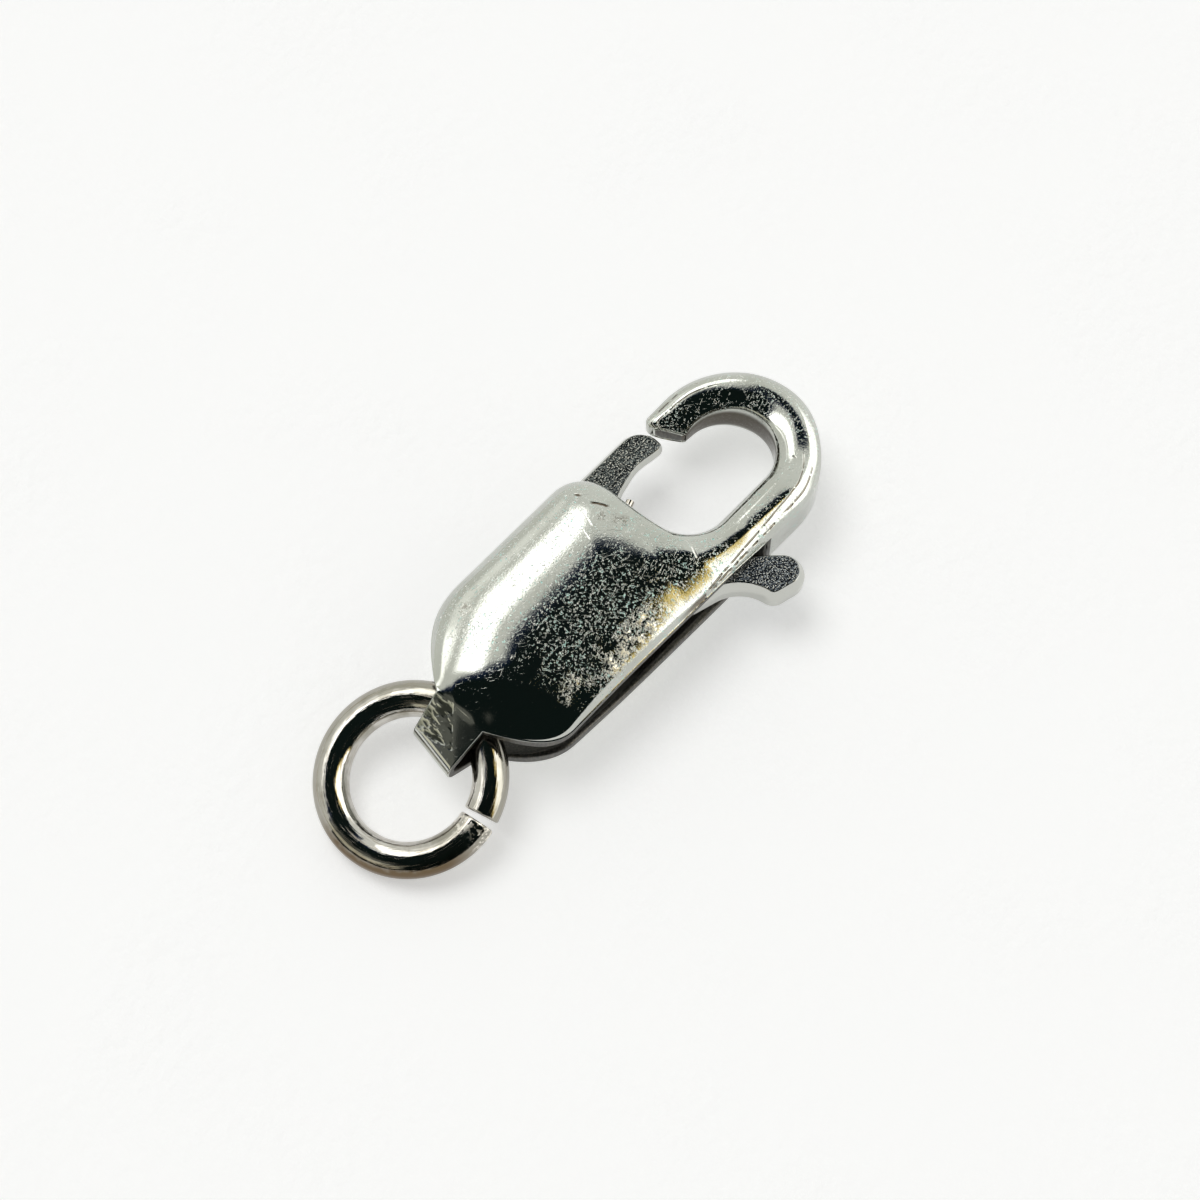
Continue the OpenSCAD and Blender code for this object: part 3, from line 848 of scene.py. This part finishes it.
lever_faces = [
    *quad_strip(levels_round).tolist(),
    *quad_strip(np.append(bore_n, bore_n[:, :1], 1)).tolist(),
    *[[top_of[i] for i in triangle] for triangle in flat_face],
    *[[foot_of[i] for i in triangle] for triangle in flat_face]]

plate, nodes = new_finish("dark_nickel_stamped")
where = nodes.place()
on_face = nodes.stored("flat_face")
pits = nodes.noise(where, 0.000075, 2.0, 0.6)
rough_face = (on_face + (pits - 0.5) * 0.8).rise(0.35, 0.75)
sparkle = nodes.noise(where, 0.00004, 1.0).rise(0.56, 0.68) * rough_face
worn = nodes.noise(where, 0.0006, 3.0, 0.6).rise(0.35, 0.65)
relief = pits * (0.06 + (0.35 + 0.45 * worn) * rough_face) + sparkle * 0.5
bump = nodes.bump(relief, 0.00001)
gate_side = nodes.part(place_on(nodes, where), "Y").rise(0.0, 2.0)
flat_colour = nodes.blend((0.31, 0.35, 0.39, 1), (0.15, 0.17, 0.165, 1), gate_side)
colour = nodes.blend((0.56, 0.565, 0.53, 1), flat_colour, rough_face)
colour = nodes.blend(colour, (0.62, 0.60, 0.54, 1), sparkle)
dull = 0.07 + 0.05 * rough_face + 0.25 * sparkle
nodes.finish(Base_Color=colour, Metallic=1.0, Roughness=dull, Normal=bump)

lever = solid("gate_and_thumb", np.concatenate(lever_points), lever_faces, plate)
flat_mark = lever.data.attributes.new("flat_face", "FLOAT", "POINT")
marks = np.zeros(len(lever.data.vertices))
marks[levels[0]] = 1
marks[levels[-1]] = 1
marks[bore_n.ravel()] = 1
flat_mark.data.foreach_set("value", marks)
for face in lever.data.polygons:
    face.use_smooth = abs(face.normal.z) < 0.99
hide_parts("lever")
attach(lever, "lever")


# Pivot pin
# A short straight pin of drawn steel stands between the two shells, held by the domes. The lever turns on
# it, so that its side is worn smooth, and its two cut ends keep the rings of the cutting tool.

steel, nodes = new_finish("drawn_steel")
where = nodes.place()
centre = placed([pivot_x, pivot_y, 0])[0]
centred = nodes.vectors("SUBTRACT", where, centre.tolist())
rings = nodes.add("ShaderNodeTexWave", {"wave_type": "RINGS", "rings_direction": "Z"}, {
    "Vector": centred, "Scale": 9000.0, "Distortion": 1.5})
streaks = nodes.noise(nodes.scaled(where, (1.0, 1.0, 0.08)), 0.00005)
bump = nodes.bump(rings * 0.5 + streaks, 0.0000015, 0.6)
colour = nodes.blend((0.62, 0.60, 0.57, 1), (0.48, 0.47, 0.45, 1), streaks)
nodes.finish(Base_Color=colour, Metallic=1.0, Roughness=0.16 + 0.1 * streaks, Normal=bump)
pin_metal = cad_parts["pivot_pin"].data.materials
pin_metal.clear()
pin_metal.append(steel)


# Spring
# A little more than one turn of hard steel wire lies round the pin on top of the lever. Its tail leans on
# the shells, and its leg drops into the gate's notch and presses on the gate, which keeps the clasp shut.

spring_d = 0.22
spring_gap = 0.06
pin_r = 0.4
coil_r = pin_r + spring_gap + spring_d / 2
coil_z = half_t + spring_gap + spring_d / 2
coil_rise = spring_d + spring_gap
coil_from = 150
coil_turn = 405
leg_low = 0.1
leg_y = gate_in - 0.05 - spring_gap - spring_d / 2


def tree_with(name, sizes):
    """A Geometry Nodes tree with a geometry and one named input for each size."""
    tree = bpy.data.node_groups.new(name, "GeometryNodeTree")
    tree.interface.new_socket("Geometry", in_out="INPUT", socket_type="NodeSocketGeometry")
    for size, value in sizes.items():
        kind = "NodeSocketInt" if isinstance(value, int) else "NodeSocketFloat"
        tree.interface.new_socket(size, in_out="INPUT", socket_type=kind)
    tree.interface.new_socket("Geometry", in_out="OUTPUT", socket_type="NodeSocketGeometry")
    return Nodes(tree)


def swept_wire(nodes, path, material):
    """A round wire along a path. It keeps the way along it and round it, for the drawing marks."""
    travelled = nodes.add("GeometryNodeSplineParameter", {}, {}, "Length")
    path = nodes.add("GeometryNodeStoreNamedAttribute", {"data_type": "FLOAT", "domain": "POINT"}, {
        "Geometry": path, "Name": "wire_run", "Value": travelled})
    profile = nodes.add("GeometryNodeCurvePrimitiveCircle", {"mode": "RADIUS"}, {
        "Resolution": nodes.given("Sides"), "Radius": nodes.given("Wire radius")})
    settings = {"data_type": "FLOAT_VECTOR", "domain": "POINT"}
    profile = nodes.add("GeometryNodeStoreNamedAttribute", settings, {
        "Geometry": profile, "Name": "wire_side", "Value": nodes.add("GeometryNodeInputPosition")})
    wire = nodes.add("GeometryNodeCurveToMesh", {}, {
        "Curve": path, "Profile Curve": profile, "Fill Caps": True})
    wire = nodes.add("GeometryNodeSetShadeSmooth", {}, {"Geometry": wire, "Shade Smooth": True})
    wire = nodes.add("GeometryNodeRealizeInstances", {}, {"Geometry": wire})
    wire = nodes.add("GeometryNodeSetMaterial", {}, {"Geometry": wire, "Material": material})
    nodes.add("NodeGroupOutput", {}, {"Geometry": wire})


def grown(name, tree, sizes, points=(), edges=()):
    """The plain mesh that a tree makes of a path, with the corners of its cut ends rounded."""
    data = bpy.data.meshes.new(name)
    data.from_pydata([tuple(p) for p in points], edges, [])
    piece = bpy.data.objects.new(name, data)
    bpy.context.scene.collection.objects.link(piece)
    maker = piece.modifiers.new("grow", "NODES")
    maker.node_group = tree
    for item in tree.interface.items_tree:
        if item.in_out == "INPUT" and item.name in sizes:
            maker[item.identifier] = sizes[item.name]
    worn = piece.modifiers.new("wear", "BEVEL")
    worn.width = 0.12 * sizes["Wire radius"]
    worn.segments = 2
    worn.limit_method = "ANGLE"
    worn.angle_limit = math.radians(50)
    evaluated = piece.evaluated_get(bpy.context.evaluated_depsgraph_get())
    made = bpy.data.meshes.new_from_object(evaluated)
    piece.modifiers.clear()
    piece.data = made
    for face in made.polygons:
        face.use_smooth = len(face.vertices) < 9
    return piece


def drawn_wire_finish(name, light, dark, rough, radius, brown_run=None):
    """Plated drawn wire with hair lines along it and a cloudy lustre. Where a brown run is given, the
    outside is tarnished along it, and past it the saw and the pliers left bright spots."""
    material, nodes = new_finish(name)
    side = nodes.stored("wire_side", "Vector")
    travelled = nodes.stored("wire_run")
    x = nodes.part(side, "X")
    y = nodes.part(side, "Y")
    along = nodes.add("ShaderNodeCombineXYZ", {}, {"X": x, "Y": y, "Z": travelled * 0.06})
    lines = nodes.noise(along, radius * 0.1, 2.0, 0.6)
    worn_lines = lines.rise(0.52, 0.68)
    where = nodes.add("ShaderNodeCombineXYZ", {}, {"X": x, "Y": y, "Z": travelled})
    cloud = nodes.noise(where, radius * 1.6, 3.0).rise(0.4, 0.7)
    dents = nodes.noise(where, radius * 0.35, 1.0)
    bump = nodes.bump(lines * 1.1 + dents * 0.5, radius * 0.008)
    outside = (x / radius).rise(-0.1, 0.8) * 0.95
    colour = nodes.blend(light, dark, (cloud + outside).least(1.0))
    colour = nodes.blend(colour, (0.30, 0.25, 0.18, 1), worn_lines * 0.5)
    dull = rough + rough * cloud + 0.22 * worn_lines
    if brown_run:
        start, end = brown_run[0] * MM, brown_run[1] * MM
        browned = (travelled - start).rise(0.0, 0.001) * (end - travelled).rise(0.0, 0.001)
        browned = browned * ((x + dents * 0.4 * radius) / radius).rise(0.5, 1.0)
        bitten = nodes.noise(where, radius * 0.22, 2.0).rise(0.5, 0.58)
        bitten = (travelled - end).rise(-0.0005, 0.0) * bitten
        colour = nodes.blend(colour, (0.13, 0.085, 0.04, 1), browned * 0.9)
        colour = nodes.blend(colour, (0.92, 0.88, 0.80, 1), bitten)
        dull = dull + 0.4 * bitten
    nodes.finish(Base_Color=colour, Metallic=1.0, Roughness=dull, Normal=bump)
    return material


def coil_point(s):
    a = math.radians(coil_from - coil_turn * s)
    return [pivot_x + coil_r * math.cos(a), pivot_y + coil_r * math.sin(a), coil_z + coil_rise * (1 - s)]


coil = [coil_point(s / 24) for s in range(25)]
spring_path = [
    np.add(coil[0], [-0.9, -0.35, 0.02]).tolist(), *coil,
    [web_x - 0.7, gate_in - 1.15 * gate_w, coil_z],
    [web_x - 0.45, gate_in - 0.95 * gate_w, coil_z - 0.2],
    [web_x - 0.25, gate_in - 0.7 * gate_w, leg_low + 0.12],
    [web_x - 0.05, gate_in - 0.45 * gate_w, leg_low],
    [web_x + 0.25, leg_y - 0.1, leg_low],
    [web_x + 0.5, leg_y, leg_low]]
spring_sizes = {"Wire radius": spring_d / 2 * MM, "Sides": 16, "Points": 220}
spring_steel = drawn_wire_finish(
    "spring_steel", (0.66, 0.63, 0.58, 1), (0.46, 0.43, 0.39, 1), 0.14, spring_d / 2 * MM)
spring_tree = tree_with("bent_wire", spring_sizes)
path = spring_tree.add("GeometryNodeMeshToCurve", {}, {"Mesh": spring_tree.given("Geometry")})
path = spring_tree.add("GeometryNodeCurveSplineType", {"spline_type": "CATMULL_ROM"}, {"Curve": path})
path = spring_tree.add("GeometryNodeResampleCurve", {}, {
    "Curve": path, "Count": spring_tree.given("Points")})
swept_wire(spring_tree, path, spring_steel)
spring = grown("spring_wire", spring_tree.tree, spring_sizes, placed(spring_path).tolist(),
               [(i, i + 1) for i in range(len(spring_path) - 1)])
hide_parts("spring")
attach(spring, "lever")


# Jump ring
# A ring of round wire is wound on a rod, sawn through once, bent shut and plated bright. It hangs in the
# bail, and its far side lies on the table. The drawing die and the pliers left fine lines along it.

ring_d = 4.95
ring_wire = 0.92
ring_cut = 0.16
cut_turn = -79
ring_seat = 1.3
ring_y = 0.08

wire_r = ring_wire / 2
ring_r = ring_d / 2 - wire_r
ring_tilt = math.asin((crown_h - wire_r) / (2 * ring_r))
half_cut = math.asin(ring_cut / 2 / ring_r)
ring_sizes = {
    "Ring radius": ring_r * MM, "Wire radius": wire_r * MM, "Cut turn": math.radians(cut_turn) + half_cut,
    "Cut width": 2 * half_cut, "Tilt": ring_tilt, "Points": 220, "Sides": 72}
ring_nickel = drawn_wire_finish(
    "dark_nickel_wire", (0.60, 0.58, 0.545, 1), (0.36, 0.345, 0.30, 1), 0.05, wire_r * MM, (7.9, 12.3))
ring_tree = tree_with("split_ring", ring_sizes)
given = ring_tree.given
path = ring_tree.add("GeometryNodeCurveArc", {"mode": "RADIUS"}, {
    "Resolution": given("Points"), "Radius": given("Ring radius"), "Start Angle": given("Cut turn"),
    "Sweep Angle": 2 * math.pi - given("Cut width")})
path = ring_tree.add("GeometryNodeTransform", {}, {
    "Geometry": path,
    "Translation": ring_tree.add("ShaderNodeCombineXYZ", {}, {"X": given("Ring radius") * -1})})
path = ring_tree.add("GeometryNodeTransform", {}, {
    "Geometry": path, "Translation": placed([ring_seat, ring_y, 0])[0].tolist(),
    "Rotation": ring_tree.add("ShaderNodeCombineXYZ", {}, {"Y": given("Tilt") * -1})})
swept_wire(ring_tree, path, ring_nickel)
ring = grown("split_ring", ring_tree.tree, ring_sizes)
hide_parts("jump_ring")
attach(ring, "ring")


# Table
# The clasp lies on a matt white acrylic board with a faint grain, as wide as the light needs. The board is
# lit from below as well, which keeps the shadows on it pale.

board_half = 0.4
floor_mesh = bpy.data.meshes.new("table")
board_corners = [(-board_half, -board_half, 0), (board_half, -board_half, 0),
                 (board_half, board_half, 0), (-board_half, board_half, 0)]
floor_mesh.from_pydata(board_corners, [], [(0, 1, 2, 3)])
table = bpy.data.objects.new("table", floor_mesh)
bpy.context.scene.collection.objects.link(table)
board, nodes = new_finish("white_board")
where = nodes.place()
grain = nodes.noise(where, 0.0004, 3.0, 0.6)
worn = nodes.noise(where, 0.006, 2.0).rise(0.35, 0.7)
relief = grain * (0.15 + 0.85 * worn)
bump = nodes.bump(relief, 0.00007)
colour = nodes.blend((0.865, 0.87, 0.86, 1), (0.89, 0.895, 0.885, 1), grain)
nodes.finish(Base_Color=colour, Roughness=0.75, Emission_Color=(1.0, 1.0, 0.99, 1),
             Emission_Strength=0.4, Normal=bump)
floor_mesh.materials.append(board)


# Light
# A big soft window stands behind the clasp to the left, the walls are pale, and the side from which the
# clasp is looked at is dark. Only what shines sees all this. Everything else gets even light from all round
# and a soft lamp from the window's side.

view_up = math.radians(65.5)
view_round = math.radians(-47.5)
away = (-math.sin(view_round), math.cos(view_round), 0.0)
to_right = (away[1], -away[0], 0.0)

world = bpy.data.worlds.new("studio")
bpy.context.scene.world = world
world.use_nodes = True
studio = Nodes(world.node_tree)
way = studio.add("ShaderNodeTexCoord", {}, {}, "Generated")


def part_of(axis):
    return studio.vectors("DOT_PRODUCT", way, axis, "Value")


# A direction in degrees from straight up: u to the right and v away from where the clasp is looked at
across = part_of(to_right)
along = part_of(away)
up = part_of((0.0, 0.0, 1.0)).least(0.99999).most(-0.99999)
level = (across * across + along * along + 0.000001) ** 0.5
degrees = up.maths("ARCCOSINE", up) * (180 / math.pi)
u = across * degrees / level
v = along * degrees / level

# Straight lines bound the dark side. The window's panes, the light on the right, a low wall in front and
# the coloured fringes lie beside them.
low_line = (v - 3 - 0.58 * (u + 30)) / 1.16
steep_line = (v - 14 - 1.73 * (u + 11)) / 2.0
over_line = low_line.least(steep_line).most(v - 32)
left_of_line = (28.5 - u).most((34 - u - 0.957 * v) / 1.38)
lit = over_line.most(0 - left_of_line)
dark_side = 1 - lit.rise(-1.2, 1.2)
from_pane = (v - 13 - 1.85 * (u + 27)) / 2.1
pane = (from_pane + 6).rise(-2.0, 2.0) * (6.5 - from_pane).rise(-2.5, 2.5) * (v - 3).rise(-2.0, 3.0)
pane = pane * (47 - v).rise(-3.0, 3.0) * (-5 - u).rise(-3.0, 3.0)
far_pane = (from_pane - 12).rise(-1.5, 1.5) * (20 - from_pane).rise(-3.0, 3.0)
far_pane = far_pane * (v - 2).rise(-3.0, 3.0)
far_pane = far_pane * (0.35 + 0.65 * (26 - v).rise(-6.0, 6.0)) * (52 - v).rise(-6.0, 6.0)
right_light = (0 - 2 - left_of_line).rise(-3.0, 3.0) * (38 + left_of_line).rise(-8.0, 8.0)
right_light = right_light * (46 - v).rise(-8.0, 8.0)
far_wall = (v + u - 45).rise(-30.0, 60.0)
low_wall = 0.08 * (degrees - 44).rise(0.0, 4.0) + 0.92 * (degrees - 61).rise(0.0, 4.0)
low_wall = low_wall * (80 - degrees).rise(0.0, 4.0)
low_wall = low_wall * (-25 - u).rise(0.0, 12.0) * (0 - v).rise(0.0, 8.0)
blue_fringe = (over_line + 3.0).rise(-1.0, 2.0) * (0.5 - over_line).rise(-1.5, 1.5)
blue_fringe = blue_fringe * left_of_line.rise(-2.0, 2.0)
gold_fringe = (0 - left_of_line).rise(-2.5, 0.5) * (left_of_line + 7).rise(0.0, 4.0)
gold_fringe = gold_fringe * (30 - v).rise(-4.0, 4.0)

light = studio.blend((0.85, 0.86, 0.80, 1), (0.98, 1.0, 0.95, 1), far_wall)
light = studio.blend(light, (2.2, 2.2, 2.1, 1), far_pane)
light = studio.blend(light, (3.3, 3.3, 3.2, 1), pane)
light = studio.blend(light, (2.6, 2.6, 2.5, 1), right_light)
light = studio.blend(light, (1.15, 0.85, 0.2, 1), gold_fringe * 0.9)
light = studio.blend(light, (0.006, 0.011, 0.010, 1), dark_side * (1 - low_wall))
light = studio.blend(light, (0.85, 0.82, 0.66, 1), dark_side * low_wall)
light = studio.blend(light, (0.04, 0.10, 0.45, 1), blue_fringe * (1 - low_wall) * 0.1)
shines = studio.add("ShaderNodeLightPath", {}, {}, "Is Glossy Ray")
light = studio.blend((0.35, 0.35, 0.347, 1), light, shines)
studio.add("ShaderNodeOutputWorld", {}, {
    "Surface": studio.add("ShaderNodeBackground", {}, {"Color": light, "Strength": 1.0})})

lamp_data = bpy.data.lights.new("window_light", "SUN")
lamp_data.angle = math.radians(36)
lamp_data.energy = 0.95
lamp = bpy.data.objects.new("window_light", lamp_data)
lamp.location = (-0.004, 0.045, 0.1)
lamp.rotation_euler = (-lamp.location).to_track_quat("-Z", "Y").to_euler()
lamp.visible_glossy = False
lamp.visible_camera = False
bpy.context.scene.collection.objects.link(lamp)
bpy.context.scene.view_settings.view_transform = "Standard"


# Camera
# It looks down at the clasp from the front left, with the lens of a portrait camera.

AIM = np.array([5.88, -0.25, 0.0])
DISTANCE = 71.0
target = Vector(placed(AIM)[0])
eye = target + DISTANCE * MM * Vector((
    math.cos(view_up) * math.sin(view_round), -math.cos(view_up) * math.cos(view_round), math.sin(view_up)))
camera_data = bpy.data.cameras.new("camera")
camera_data.lens = 85
camera_data.sensor_width = 36
camera_data.clip_start = 0.005
camera_data.clip_end = 10
camera = bpy.data.objects.new("camera", camera_data)
camera.location = eye
camera.rotation_euler = (target - eye).to_track_quat("-Z", "Y").to_euler()
bpy.context.scene.collection.objects.link(camera)
bpy.context.scene.camera = camera
